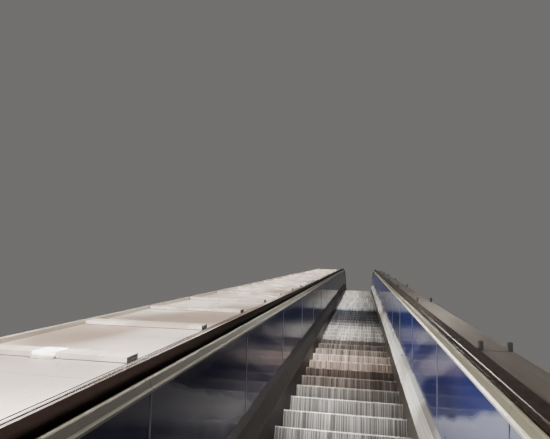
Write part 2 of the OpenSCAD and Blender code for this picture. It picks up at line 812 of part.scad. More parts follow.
// Raised cross bars that keep people and bags from sliding down the wide deck
bar_start = 300;
bar_end_gap = 4;
module deck_bars()
    color("silver") on(-1)
        for (s = [s2 + bar_start : bar_pitch : s3 - bar_w])
            sweep(s, s + bar_w)
                translate([sheet_x + bar_end_gap, deck_n])
                    square([side_x + left_deck_w - edge_w - sheet_x - 2 * bar_end_gap, bar_h]);

// Raised strip along the outer edge of the wide deck
edge_w = 30;
edge_h = 24;
module left_deck_edge()
    color("tan") on(-1) pieces(deck_joints)
        translate([side_x + left_deck_w - edge_w, deck_n]) square([edge_w, edge_h]);

// Gusset plates that carry the wide deck from the uprights
gusset_h = 330;
gusset_foot = 60;
upright_list = [for (s = panel_joints)
    if (!(s > s1 && s < s2) && !(s > s3 && s < s4) && s > balustrade_start && s < balustrade_end) s];
module left_deck_gussets()
    color("gray") on(-1)
        for (s = upright_list)
            at(s) along_y(-gusset_t / 2, gusset_t / 2)
                polygon([
                    [side_x, deck_n - deck_t], [side_x + left_deck_w - deck_t, deck_n - deck_t],
                    [side_x + left_deck_w - deck_t, deck_n - deck_lip],
                    [side_x + gusset_foot, deck_n - gusset_h], [side_x, deck_n - gusset_h]
                ]);

// Exterior side sheets, from the outer decks down past the nosing line
side_low = 60;
module side_sheets(side)
    on(side) pieces(deck_joints)
        translate([side_x - side_t, -side_low]) square([side_t, deck_n - deck_t + side_low]);

module left_side_sheets() color("silver") side_sheets(-1);
module right_side_sheets() color("silver") side_sheets(1);

// Uprights on the truss that carry the balustrade: a leg inside the side sheet, an arm under the
// guide and a lower arm behind the inner deck
arm_h = 24;
arm_gap = 10;
leg_w = 50;
foot_in = 20;
leg_out = side_x - side_t;
leg_in = leg_out - leg_w;
foot_top = -side_low - foot_in;
module uprights(side)
    on(side)
        for (s = upright_list)
            at(s) along_y(-upright_t / 2, upright_t / 2)
                polygon([
                    [leg_out, foot_top], [leg_out, deck_n - deck_t], [strip_x, deck_n - deck_t],
                    [strip_x, panel_top], [panel_x + panel_t + arm_gap, panel_top],
                    [panel_x + panel_t + arm_gap, panel_top - arm_h], [leg_in, panel_top - 3 * arm_h],
                    [leg_in, panel_foot], [panel_x + panel_t, panel_foot],
                    [panel_x + panel_t, panel_foot - arm_h], [leg_in, panel_foot - 3 * arm_h],
                    [leg_in, -chord_top], [truss_w / 2 - foot_in, -chord_top],
                    [truss_w / 2 - foot_in, foot_top]
                ]);

module left_uprights() color("gray") uprights(-1);
module right_uprights() color("gray") uprights(1);

// Plated ends of the truss, with the turning ends of the step band inside, and sheets that
// close the sides as far as the first bay of the incline
cover_bay = 1;
module end_casing(low) {
    len = low ? lower_end_len : upper_end_len;
    at_landing(low)
        difference() {
            translate([-truss_w / 2, -len, -truss_depth - casing_t])
                cube([truss_w, len - casing_from, truss_depth + casing_t + floor_top - floor_t]);
            translate([-truss_w / 2 + casing_t, -len + casing_t, -truss_depth])
                cube([truss_w - 2 * casing_t, len, 2 * truss_depth]);
        }
    a = low ? lattice_start : knee_len - cover_bay * bay;
    b = low ? cover_bay * bay : lattice_end;
    k = low ? 0 : knee_len;
    for (x = [-(truss_w + casing_t) / 2, (truss_w + casing_t) / 2])
        translate([x, 0, 0])
            along_x(casing_t)
                polygon([
                    truss_point(a, -truss_depth), truss_point(k, -truss_depth), truss_point(b, -truss_depth),
                    truss_point(b, -chord_top), truss_point(k, -chord_top), truss_point(a, -chord_top)
                ]);
}

module lower_end_casing() color("slategray") end_casing(true);
module upper_end_casing() color("slategray") end_casing(false);

// Support brackets on the truss ends, resting on the building
module support_bracket()
    difference() {
        union() {
            translate([-truss_w / 2, -bearing_len, 0]) cube([truss_w, bearing_len, bearing_t]);
            translate([-truss_w / 2, -bearing_t, 0])
                cube([truss_w, bearing_t, bearing_drop + floor_top - floor_t]);
        }
        for (x = [-bolt_gap / 2, bolt_gap / 2])
            translate([x, -bearing_len / 2, -1]) cylinder(d = bolt_d, h = bearing_t + 2, $fn = 48);
    }

module lower_support_bracket()
    color("dimgray") translate([0, truss_start, 0]) support_bracket();

module upper_support_bracket()
    color("dimgray") translate([0, truss_end, p5[1] - bearing_drop]) rotate([0, 0, 180]) support_bracket();

steps();
return_steps();
lower_comb();
upper_comb();
lower_floor_plates();
upper_floor_plates();
lower_floor_frame();
upper_floor_frame();
left_skirt();
right_skirt();
left_inner_deck();
right_inner_deck();
left_interior_panels();
right_interior_panels();
left_top_trim();
right_top_trim();
left_handrail_guide();
right_handrail_guide();
left_handrail();
right_handrail();
left_newels();
right_newels();
left_handrail_inlets();
right_handrail_inlets();
left_outer_deck();
right_outer_deck();
deck_bars();
left_deck_edge();
right_deck_stops();
left_deck_gussets();
left_side_sheets();
right_side_sheets();
left_uprights();
right_uprights();
left_truss_frame();
right_truss_frame();
cross_beams();
soffit();
tracks();
return_tracks();
track_plates();
lower_end_casing();
upper_end_casing();
lower_support_bracket();
upper_support_bracket();
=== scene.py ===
import math

import bpy
from mathutils import Matrix, Quaternion, Vector


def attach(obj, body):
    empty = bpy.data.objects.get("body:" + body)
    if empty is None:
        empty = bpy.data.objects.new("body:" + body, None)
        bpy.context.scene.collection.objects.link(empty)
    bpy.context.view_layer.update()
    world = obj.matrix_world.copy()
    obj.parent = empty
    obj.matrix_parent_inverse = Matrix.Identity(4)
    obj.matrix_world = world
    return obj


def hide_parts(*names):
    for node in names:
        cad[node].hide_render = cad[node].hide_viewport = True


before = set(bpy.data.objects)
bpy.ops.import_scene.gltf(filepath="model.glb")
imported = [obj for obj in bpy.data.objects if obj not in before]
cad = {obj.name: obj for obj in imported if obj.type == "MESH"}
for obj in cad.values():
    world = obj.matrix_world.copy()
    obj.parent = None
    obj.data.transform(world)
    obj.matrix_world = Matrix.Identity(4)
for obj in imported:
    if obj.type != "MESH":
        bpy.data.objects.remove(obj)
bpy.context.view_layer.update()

# The nosing line in metres, as the CAD part has it: flat, lower bend, incline, upper bend, flat
INCLINE = math.radians(30)
SIN, COS = math.sin(INCLINE), math.cos(INCLINE)
R_LOW, R_UP, FLAT, RISE = 2.0, 3.6, 1.2, 11.0
S1 = FLAT
S2 = S1 + R_LOW * INCLINE
S3 = S2 + (RISE - (R_LOW + R_UP) * (1 - COS)) / SIN
S4 = S3 + R_UP * INCLINE
S5 = S4 + FLAT
P0 = (2.4, 0.17)
P1 = (P0[0] + FLAT, P0[1])
C_LOW = (P1[0], P1[1] + R_LOW)
P2 = (C_LOW[0] + R_LOW * SIN, C_LOW[1] - R_LOW * COS)
P3 = (P2[0] + (S3 - S2) * COS, P2[1] + (S3 - S2) * SIN)
C_UP = (P3[0] + R_UP * SIN, P3[1] - R_UP * COS)
P4 = (C_UP[0], C_UP[1] + R_UP)
P5 = (P4[0] + FLAT, P4[1])

# A point of the incline at (s, n) lies s + TO_U along the slope from the origin, and n + TO_N over it
TO_U = P2[0] * COS + P2[1] * SIN - S2
TO_N = P2[1] * COS - P2[0] * SIN

# Sections of the balustrades and decks, from the centre line and over the nosing line
PANEL, RAIL, SIDE = 0.580, 0.640, 0.760
PANEL_FOOT, PANEL_TOP, DECK = 0.287, 0.800, 0.825
RAIL_MID, NEWEL_N, NEWEL_R, NEWEL_OUT = 0.856, 0.586, 0.270, 0.650
START, END = -NEWEL_OUT, S5 + NEWEL_OUT
PANEL_LEN = 1.4

# Cross bars of the wide deck, and the bar with the repair tape
BAR_START, BAR_PITCH, BAR_W, BAR_H, TAPE_BAR = 0.300, 0.920, 0.095, 0.024, 3

CLEAT_PITCH = 0.009


def slope(s):
    if s < S1:
        return 0.0
    if s < S2:
        return (s - S1) / R_LOW
    if s < S3:
        return INCLINE
    if s < S4:
        return (S4 - s) / R_UP
    return 0.0


def path(s, n=0.0):
    """Place at s along the nosing line and n over it, as (y, z)."""
    a = slope(s)
    if s < S1:
        y, z = P0[0] + s, P0[1]
    elif s < S2:
        y, z = C_LOW[0] + R_LOW * math.sin(a), C_LOW[1] - R_LOW * math.cos(a)
    elif s < S3:
        y, z = P2[0] + (s - S2) * COS, P2[1] + (s - S2) * SIN
    elif s < S4:
        y, z = C_UP[0] - R_UP * math.sin(a), C_UP[1] + R_UP * math.cos(a)
    else:
        y, z = P4[0] + s - S4, P4[1]
    return y - n * math.sin(a), z + n * math.cos(a)


def joints(a, b, length):
    """The CAD part's joints between panels."""
    def cuts(a, b):
        made = [a]
        while made[-1] + length < b - length / 3:
            made.append(made[-1] + length)
        return made
    return cuts(a, S1) + [S1, (S1 + S2) / 2] + cuts(S2, S3) + [S3, (S3 + S4) / 2] + cuts(S4, b) + [b]


# Materials
class Finish:
    """A procedural material: each method adds a node and returns its output."""

    def __init__(self, name, **values):
        self.mat = bpy.data.materials.new(name)
        self.mat.use_nodes = True
        self.tree = self.mat.node_tree
        self.shader = self.tree.nodes["Principled BSDF"]
        for key, value in values.items():
            self.put(key.replace("_", " ").title().replace("Ior", "IOR"), value)
        self.place = self.tree.nodes.new("ShaderNodeTexCoord").outputs["Object"]

    def put(self, key, value):
        """Set or link one of the shader's own inputs."""
        socket = self.shader.inputs[key]
        if isinstance(value, bpy.types.NodeSocket):
            self.tree.links.new(value, socket)
        else:
            socket.default_value = value

    def node(self, kind, inputs=(), out=0, **props):
        made = self.tree.nodes.new(kind)
        for key, value in props.items():
            setattr(made, key, value)
        for key, value in dict(inputs).items():
            if isinstance(value, bpy.types.NodeSocket):
                self.tree.links.new(value, made.inputs[key])
            else:
                made.inputs[key].default_value = value
        return made.outputs[out]

    def grain(self, across, along, up, detail=3.0, turn=-INCLINE):
        """Noise stretched by a scale for each direction, along the incline unless told otherwise."""
        turned = self.node("ShaderNodeMapping", {"Vector": self.place, "Rotation": (turn, 0.0, 0.0)})
        scaled = self.node("ShaderNodeMapping", {"Vector": turned, "Scale": (across, along, up)})
        return self.node("ShaderNodeTexNoise", {"Vector": scaled, "Scale": 1.0, "Detail": detail})

    def ramp(self, value, *stops, smooth=True):
        """Colour or grey by stops of (place, colour), in smooth steps or in bands."""
        made = self.tree.nodes.new("ShaderNodeValToRGB")
        made.color_ramp.interpolation = "LINEAR" if smooth else "CONSTANT"
        marks = made.color_ramp.elements
        while len(marks) < len(stops):
            marks.new(0.5)
        for mark, (at, colour) in zip(marks, stops):
            mark.position = at
            mark.color = (*colour, 1.0) if isinstance(colour, tuple) else (colour, colour, colour, 1.0)
        self.tree.links.new(value, made.inputs[0])
        return made.outputs[0]

    def mix(self, share, a, b, blend="MIX"):
        made = self.tree.nodes.new("ShaderNodeMix")
        made.data_type = "RGBA"
        made.blend_type = blend
        for socket, value in ((made.inputs[0], share), (made.inputs[6], a), (made.inputs[7], b)):
            if isinstance(value, bpy.types.NodeSocket):
                self.tree.links.new(value, socket)
            else:
                socket.default_value = (*value, 1.0) if isinstance(value, tuple) else value
        return made.outputs[2]

    def darken(self, colour, by, share=1.0):
        return self.mix(share, colour, by, "MULTIPLY")

    def across(self, low, high):
        """Distance from the centre line, from 0 at low to 1 at high."""
        x = self.node("ShaderNodeSeparateXYZ", {0: self.place})
        x = self.node("ShaderNodeMath", {0: x}, operation="ABSOLUTE")
        return self.node("ShaderNodeMapRange", {"Value": x, "From Min": low, "From Max": high})

    def bands(self, low, high, *stops):
        """Bands along the machine, by the distance from the centre line."""
        return self.ramp(self.across(low, high), *stops, smooth=False)

    def along(self, low, high, direction=(0.0, COS, SIN)):
        """Distance along the incline, or another direction, from 0 at low to 1 at high."""
        d = self.node("ShaderNodeVectorMath", {0: self.place, 1: direction}, "Value", operation="DOT_PRODUCT")
        return self.node("ShaderNodeMapRange", {"Value": d, "From Min": low, "From Max": high})

    def by_s(self, stops):
        """Ramp by the distance s along the nosing line, from stops of (s, colour)."""
        first, last = stops[0][0], stops[-1][0]
        place = self.along(first + TO_U, last + TO_U)
        return self.ramp(place, *[((s - first) / (last - first), colour) for s, colour in stops])

    def ribs(self, pitch):
        """Waves across the machine with one crest a pitch."""
        x = self.node("ShaderNodeSeparateXYZ", {0: self.place})
        x = self.node("ShaderNodeMath", {0: x, 1: 2 * math.pi / pitch}, operation="MULTIPLY")
        return self.node("ShaderNodeMath", {0: x}, operation="SINE")

    def bump(self, height, depth, strength=1.0):
        values = {"Height": height, "Distance": depth, "Strength": strength}
        self.put("Normal", self.node("ShaderNodeBump", values))


def metal(name, light, dark, rough, metallic, scale, dust, dust_colour=(0.16, 0.145, 0.125), turn=-INCLINE,
          bands=None):
    """Brushed or rolled metal with long grain, worn patches and dust."""
    f = Finish(name, metallic=metallic)
    fine = f.grain(*scale, turn=turn)
    large = f.grain(1.3, 0.45, 1.3, 5.0, turn=turn)
    colour = f.ramp(fine, (0.3, dark), (0.7, light))
    if bands:
        colour = f.darken(colour, f.bands(*bands), 0.95)
    colour = f.mix(f.ramp(large, (0.42, 0.0), (0.68, dust)), colour, dust_colour)
    f.put("Base Color", colour)
    f.put("Roughness", f.ramp(large, (0.35, rough[0]), (0.7, rough[1])))
    f.bump(fine, 0.0004)
    return f.mat


def paint(name, light, dark, rough=(0.35, 0.6), dust=0.3, dust_colour=(0.15, 0.14, 0.12), gloss=0.5):
    """Painted or rubber surface with uneven tone and dust."""
    f = Finish(name, metallic=0.0, specular_ior_level=gloss)
    large = f.grain(1.1, 0.5, 1.1, 6.0)
    spots = f.grain(24, 24, 24, 4.0)
    colour = f.ramp(spots, (0.3, dark), (0.72, light))
    colour = f.mix(f.ramp(large, (0.45, 0.0), (0.75, dust)), colour, dust_colour)
    f.put("Base Color", colour)
    f.put("Roughness", f.ramp(large, (0.3, rough[0]), (0.75, rough[1])))
    f.bump(spots, 0.0003)
    return f.mat


# Pale patches painted as reflections on the panels of the lower run, slanting by the first value below: stops
# of (s + slant n, share)
REFLECTION_SLANT, REFLECTION_WAVE = 3, 0.12
PANEL_REFLECTIONS = [
    (7.05, 0.0), (7.22, 0.8), (7.48, 1.0), (7.58, 0.03), (8.20, 0.03), (8.36, 0.5), (8.64, 0.4), (8.78, 0.03),
    (9.05, 0.03), (9.16, 0.3), (9.34, 0.2), (9.5, 0.0),
]


def panel_blue(name, light, dark, coat, reflection_cloud, patches, pale):
    """High-gloss enamel on sheet that isn't quite flat, so that its reflections wave, with pale clouds and
    patches painted on as reflections.
    """
    f = Finish(name, metallic=0.0, specular_ior_level=0.0, coat_weight=0.6, coat_roughness=0.11,
               coat_ior=coat)
    wave = f.grain(1.0, 0.9, 1.6, 0.0)
    tone = f.grain(0.8, 0.6, 1.2, 3.0)
    smear = f.grain(3.0, 2.4, 9.0, 4.0)
    cloud = f.grain(1.0, 1.1, 3.4, 1.5)
    colour = f.ramp(tone, (0.32, dark), (0.68, light))
    # Pale clouds painted on as reflections
    colour = f.mix(f.ramp(cloud, (0.50, 0.0), (0.66, reflection_cloud)), colour, (0.26, 0.27, 0.33))
    colour = f.mix(f.ramp(smear, (0.60, 0.0), (0.85, 0.05)), colour, (0.20, 0.22, 0.30))
    # Slanting pale patches painted on as reflections
    first, last = PANEL_REFLECTIONS[0][0], PANEL_REFLECTIONS[-1][0]
    shift = TO_U + REFLECTION_SLANT * TO_N
    slant = f.along(first + shift, last + shift, (0.0, COS - REFLECTION_SLANT * SIN, SIN + REFLECTION_SLANT * COS))
    ripple = f.grain(2.6, 2.0, 2.6, 2.0)
    wavy = f.node("ShaderNodeMath", {0: ripple, 1: REFLECTION_WAVE, 2: slant}, operation="MULTIPLY_ADD")
    stops = [(min(1.0, (d - first) / (last - first) + REFLECTION_WAVE / 2), share * patches)
             for d, share in PANEL_REFLECTIONS]
    colour = f.mix(f.ramp(wavy, *stops), colour, pale)
    f.put("Base Color", colour)
    f.put("Roughness", f.ramp(tone, (0.35, 0.26), (0.75, 0.32)))
    f.bump(wave, 0.012, 0.07)
    return f.mat


# Painted light and shade on the wide deck along the nosing line, as stops of (s, share)
DECK_PAINTED_LIGHT = [
    (4.45, 1.0), (4.65, 0.88), (4.95, 0.50), (5.25, 0.34), (5.45, 0.60), (5.9, 0.60),
    (6.2, 0.92), (6.5, 0.72), (7.0, 0.70), (7.3, 0.95), (8.2, 0.80), (9.0, 0.90),
]


def sheen(name, light, dark, scale, bands, dim, streaky=1.0, light_and_shade=None):
    """Polished sheet with broad warm shades painted on as reflections, stains and dark seams, dimmer towards
    the balustrade and streaky beside it with painted reflections.
    """
    f = Finish(name, metallic=0.35, specular_ior_level=0.15)
    shade = f.grain(*scale, 1.0)
    fine = f.grain(60.0, 1.4, 60.0, 3.0)
    stain = f.grain(3.0, 2.0, 3.0, 5.0)
    streak = f.grain(45.0, 0.35, 45.0, 1.0)
    # Broad shades painted on as reflections
    colour = f.ramp(shade, (0.38, dark), (0.64, light))
    colour = f.darken(colour, f.ramp(f.across(0.84, 1.60), (0.0, dim), (1.0, 1.0)))
    # Painted light and shade along the nosing line
    if light_and_shade:
        colour = f.darken(colour, f.by_s(light_and_shade))
    colour = f.darken(colour, f.ramp(fine, (0.35, 0.45), (0.65, 1.0)), 0.12)
    colour = f.mix(f.ramp(stain, (0.56, 0.0), (0.74, 0.18)), colour, (0.40, 0.33, 0.28))
    low, high, *stops = bands
    # Streaks painted on as reflections beside the balustrade
    streaks = f.darken(colour, f.ramp(streak, (0.42, streaky), (0.56, 1.0)))
    colour = f.mix(f.bands(low, high, (0.0, 1.0), (stops[-1][0], 0.0)), colour, streaks)
    colour = f.darken(colour, f.bands(low, high, *stops))
    f.put("Base Color", colour)
    f.put("Roughness", f.ramp(shade, (0.35, 0.38), (0.65, 0.22)))
    f.bump(fine, 0.0002)
    return f.mat


# Bands of painted light and shade on groups of steps, brighter or darker and browner, as stops of (s, colour)
STEP_PAINTED_LIGHT = [
    (6.9, (0.60, 0.60, 0.60)), (7.2, (1.0, 1.0, 1.0)), (7.8, (1.0, 0.99, 0.98)),
    (8.1, (0.60, 0.585, 0.57)), (8.7, (0.27, 0.23, 0.21)), (9.05, (0.14, 0.11, 0.10)),
    (9.35, (0.58, 0.45, 0.39)), (10.0, (1.0, 0.83, 0.74)), (10.4, (0.30, 0.26, 0.24)),
    (11.25, (0.20, 0.18, 0.175)), (11.5, (1.0, 0.96, 0.92)), (12.6, (1.0, 0.96, 0.92)),
    (13.1, (0.45, 0.45, 0.46)), (13.8, (0.14, 0.14, 0.16)), (15.6, (0.09, 0.10, 0.135)),
    (16.2, (0.95, 0.97, 1.0)), (20.0, (1.0, 0.94, 0.91)),
]


def cleat_metal(name, light, dark, rough):
    """Cleats worn in streaks that run on from step to step, with painted light: brighter at the left, darker
    towards the right, and in bands on groups of steps.
    """
    f = Finish(name, metallic=0.3, specular_ior_level=0.02)
    fine = f.grain(140.0, 0.6, 0.6, 0.5)
    broad = f.grain(26.0, 0.6, 0.6, 3.0)
    patch = f.grain(1.6, 2.2, 2.2, 5.0)
    colour = f.ramp(fine, (0.42, dark), (0.60, light))
    colour = f.darken(colour, f.ramp(broad, (0.36, 0.60), (0.60, 1.0)), 0.8)
    # Bands of painted light and shade along the run
    colour = f.darken(colour, f.by_s(STEP_PAINTED_LIGHT))
    # Painted shade across the steps: brighter at the left, darker towards the right
    left_to_right = f.along(-0.5, 0.5, (1.0, 0.0, 0.0))
    side_painted_shade = f.ramp(left_to_right, (0.0, 1.0), (0.35, 0.78), (0.65, 0.34), (1.0, 0.13))
    colour = f.darken(colour, side_painted_shade, 0.95)
    colour = f.mix(f.ramp(patch, (0.45, 0.0), (0.70, 0.3)), colour, (0.03, 0.024, 0.018))
    f.put("Base Color", colour)
    f.put("Roughness", f.ramp(broad, (0.35, rough[1]), (0.65, rough[0])))
    return f.mat


def olive_trim(name, lip, face, edge):
    """Satin trim: lip over the panels, olive face and edge under the handrail, each of its own shade."""
    return metal(name, (0.74, 0.70, 0.60), (0.60, 0.57, 0.49), (0.35, 0.55), 0.1, (60, 2.0, 60), 0.2,
                 bands=(0.560, 0.610, (0.0, lip), (0.24, face), (0.82, edge)))


def stained_tape():
    """Pale repair tape with brown glue that has run out along its foot."""
    f = Finish("tape_stained", metallic=0.0, specular_ior_level=0.05)
    creases = f.grain(30.0, 30.0, 30.0, 3.0)
    foot, rise = DECK + TO_N, 0.018
    colour = f.ramp(creases, (0.35, (0.72, 0.68, 0.60)), (0.60, (0.92, 0.89, 0.84)))
    share = f.ramp(f.along(foot, foot + rise, (0.0, -SIN, COS)), (0.0, 0.95), (0.5, 0.7), (1.0, 0.0))
    glue = f.ramp(creases, (0.35, (0.022, 0.010, 0.004)), (0.62, (0.11, 0.065, 0.032)))
    f.put("Base Color", f.mix(share, colour, glue))
    f.put("Roughness", f.ramp(creases, (0.3, 0.25), (0.7, 0.45)))
    f.bump(creases, 0.002)
    return f.mat


def floor_plate():
    """Floor plate with fine ribs along the way that people walk."""
    f = Finish("floor_plate_ribs", metallic=0.85)
    ribs = f.ribs(CLEAT_PITCH)
    large = f.grain(1.5, 1.5, 1.5, 6.0, turn=0.0)
    colour = f.ramp(ribs, (0.0, (0.20, 0.195, 0.185)), (0.6, (0.55, 0.54, 0.52)))
    f.put("Base Color", f.mix(f.ramp(large, (0.4, 0.0), (0.7, 0.4)), colour, (0.17, 0.155, 0.13)))
    f.put("Roughness", f.ramp(large, (0.3, 0.32), (0.7, 0.55)))
    f.bump(ribs, 0.0015)
    return f.mat


def return_step():
    """Cleats of the hanging steps, drawn on the CAD form as bands across the machine."""
    f = Finish("return_step_cleats", metallic=0.8, roughness=0.55)
    ribs = f.ribs(CLEAT_PITCH)
    large = f.grain(2.5, 2.5, 2.5, 5.0)
    colour = f.ramp(ribs, (0.0, (0.07, 0.065, 0.06)), (0.6, (0.32, 0.31, 0.30)))
    f.put("Base Color", f.mix(f.ramp(large, (0.4, 0.0), (0.7, 0.5)), colour, (0.10, 0.08, 0.06)))
    f.bump(ribs, 0.002)
    return f.mat


# Light and dark colour, roughness, then metallic, grain and dust for metals, or dust and gloss for paints
M = {
    "cleat": cleat_metal("cleat_tops", (0.92, 0.91, 0.89), (0.34, 0.33, 0.315), (0.50, 0.65)),
    # Nosing edges polished by wear, and painted near white as a highlight line
    "nosing": cleat_metal("nosing_edges_polish_and_highlight", (1.0, 1.0, 1.0), (0.90, 0.89, 0.88), (0.22, 0.30)),
    # Groove walls and floors painted darker than the cleat tops as shade
    "groove": cleat_metal("cleat_grooves_painted_shade", (0.36, 0.355, 0.345), (0.12, 0.117, 0.112), (0.65, 0.80)),
    "step_side": metal("step_castings", (0.30, 0.30, 0.29), (0.17, 0.165, 0.16), (0.45, 0.65),
                       0.8, (30, 30, 30), 0.4),
    "roller": paint("roller_tyres", (0.05, 0.05, 0.05), (0.02, 0.02, 0.02)),
    "comb": metal("comb_aluminium", (0.60, 0.60, 0.58), (0.42, 0.41, 0.40), (0.32, 0.5),
                  0.9, (30, 30, 30), 0.3),
    "floor": floor_plate(),
    "return_step": return_step(),
    # One skirt steel on both sides: the left copy is painted near black as shade, the right one brown-grey
    "skirt_left": paint("skirt_left_painted_shade", (0.012, 0.011, 0.011), (0.006, 0.006, 0.006), (0.35, 0.55),
                        0.10, (0.03, 0.027, 0.025), 0.12),
    "skirt_right": paint("skirt_brown", (0.075, 0.066, 0.056), (0.035, 0.031, 0.027), (0.30, 0.50),
                         0.25, gloss=0.3),
    # One inner deck on both sides: the left copy is painted near black as shade, the right one bright with
    # painted sheen, its bevel painted darker as shade
    "deck_left": paint("inner_deck_grey", (0.016, 0.014, 0.013), (0.008, 0.007, 0.007), (0.35, 0.50),
                       0.2, (0.04, 0.035, 0.03), 0.10),
    "deck_right": sheen("inner_deck_bright", (1.0, 0.98, 0.94), (0.36, 0.335, 0.30), (2.5, 1.3, 2.5),
                        (0.500, 0.600, (0.0, 0.2), (0.05, 1.0), (0.50, 0.42), (0.80, 0.6)), 1.0, streaky=0.7),
    # One blue enamel on both sides: the left copy is painted darker and greyer as shade
    "panel_left": panel_blue("panel_blue_left", (0.004, 0.006, 0.032), (0.002, 0.003, 0.015),
                             coat=1.50, reflection_cloud=0.02, patches=0.40, pale=(0.20, 0.195, 0.195)),
    "panel_right": panel_blue("panel_blue_right", (0.003, 0.009, 0.085), (0.0015, 0.0045, 0.038),
                              coat=1.40, reflection_cloud=0.04, patches=0.45, pale=(0.26, 0.27, 0.33)),
    # One trim on both sides: the left lip is painted dark as shade, the right lip light cream as lit
    "trim_left": olive_trim("trim_olive_left", (0.10, 0.10, 0.09), (0.13, 0.127, 0.108), (0.85, 0.82, 0.76)),
    "trim_right": olive_trim("trim_olive_right", (0.50, 0.48, 0.41), (0.11, 0.106, 0.082), (1.0, 0.97, 0.88)),
    "guide": metal("guide_steel", (0.30, 0.29, 0.28), (0.16, 0.155, 0.15), (0.3, 0.5),
                   0.9, (60, 2.0, 60), 0.3),
    # One handrail rubber on both sides: the left copy is painted darker as shade, the right one lighter
    "rail_right": paint("handrail_rubber_right", (0.014, 0.010, 0.008), (0.006, 0.0045, 0.004), (0.20, 0.30),
                        0.3, (0.05, 0.035, 0.025), 0.014),
    "rail_left": paint("handrail_rubber_left", (0.0035, 0.0026, 0.0022), (0.0018, 0.0014, 0.0012),
                       (0.34, 0.50), 0.3, (0.009, 0.005, 0.004), 0.002),
    "inlet": paint("inlet_black", (0.016, 0.015, 0.014), (0.008, 0.008, 0.008), (0.5, 0.7), 0.1, gloss=0.15),
    # Painted reflections, and painted light and shade along the nosing line
    "deck_wide": sheen("deck_stainless", (1.0, 0.88, 0.80), (0.30, 0.225, 0.185), (1.1, 0.5, 1.1),
                       (0.760, 0.860, (0.0, 1.0), (0.150, 0.02), (0.235, 1.0), (0.400, 0.02), (0.490, 1.0)),
                       0.85, streaky=0.3, light_and_shade=DECK_PAINTED_LIGHT),
    "edge": metal("edge_strip_beige", (0.56, 0.51, 0.43), (0.38, 0.35, 0.29), (0.3, 0.5),
                  0.6, (50, 2.0, 50), 0.3),
    # Painted reflections as on the deck
    "bars": sheen("deck_bars", (0.72, 0.63, 0.56), (0.42, 0.355, 0.305), (5.0, 2.0, 2.0),
                  (0.800, 1.600, (0.0, 0.02), (0.0145, 1.0), (0.980, 0.02)), 0.8),
    "deck_narrow": metal("deck_grey_brown", (0.068, 0.057, 0.047), (0.040, 0.033, 0.027), (0.35, 0.55),
                         0.4, (50, 1.8, 50), 0.3),
    "side": metal("side_stainless", (0.72, 0.71, 0.69), (0.56, 0.55, 0.53), (0.28, 0.45),
                  0.9, (50, 1.6, 50), 0.2),
    "track": metal("track_steel", (0.32, 0.31, 0.30), (0.20, 0.19, 0.18), (0.35, 0.6),
                   0.9, (40, 3, 40), 0.45, (0.13, 0.075, 0.04)),
    "soffit": metal("soffit_galvanised", (0.48, 0.49, 0.50), (0.34, 0.35, 0.36), (0.4, 0.6),
                    0.8, (14, 14, 14), 0.35),
    "truss": paint("truss_paint", (0.20, 0.22, 0.23), (0.14, 0.155, 0.165), (0.45, 0.65),
                   0.35, (0.12, 0.10, 0.08)),
    "newel": metal("newel_stainless", (0.74, 0.73, 0.71), (0.60, 0.59, 0.57), (0.26, 0.42),
                   0.9, (2, 50, 50), 0.15, turn=0.0),
    "strip": paint("joint_strip", (0.10, 0.105, 0.125), (0.06, 0.065, 0.08), (0.4, 0.6), 0.2, gloss=0.3),
    "tape": stained_tape(),
}

# The CAD nodes that keep their own meshes, by material
DRESSED = {
    "return_step": ["return_steps"],
    "comb": ["lower_comb", "upper_comb"],
    "floor": ["lower_floor_plates", "upper_floor_plates"],
    "guide": ["lower_floor_frame", "upper_floor_frame", "left_handrail_guide", "right_handrail_guide"],
    "skirt_left": ["left_skirt"],
    "skirt_right": ["right_skirt"],
    "deck_left": ["left_inner_deck"],
    "deck_right": ["right_inner_deck"],
    "panel_left": ["left_interior_panels"],
    "panel_right": ["right_interior_panels"],
    "trim_left": ["left_top_trim"],
    "trim_right": ["right_top_trim"],
    "newel": ["left_newels", "right_newels"],
    "inlet": ["left_handrail_inlets", "right_handrail_inlets", "right_deck_stops"],
    "deck_wide": ["left_outer_deck"],
    "deck_narrow": ["right_outer_deck"],
    "bars": ["deck_bars"],
    "edge": ["left_deck_edge"],
    "side": ["left_side_sheets", "right_side_sheets"],
    "soffit": ["soffit"],
    "track": ["tracks", "return_tracks"],
    "truss": ["left_deck_gussets", "left_uprights", "right_uprights", "left_truss_frame", "right_truss_frame",
              "cross_beams", "track_plates", "lower_end_casing", "upper_end_casing", "lower_support_bracket",
              "upper_support_bracket"],
}
for finish, names in DRESSED.items():
    for name in names:
        cad[name].data.materials.clear()
        cad[name].data.materials.append(M[finish])


# Meshes that ride on the frame
def unmoved(x, y, z):
    return x, y, z


def at(s, n0=0.0):
    """Placement of a form drawn in x, along and over the nosing line at s."""
    a = slope(s)
    y0, z0 = path(s)

    def place(x, along, n):
        n += n0
        return x, y0 + along * math.cos(a) - n * math.sin(a), z0 + along * math.sin(a) + n * math.cos(a)
    return place


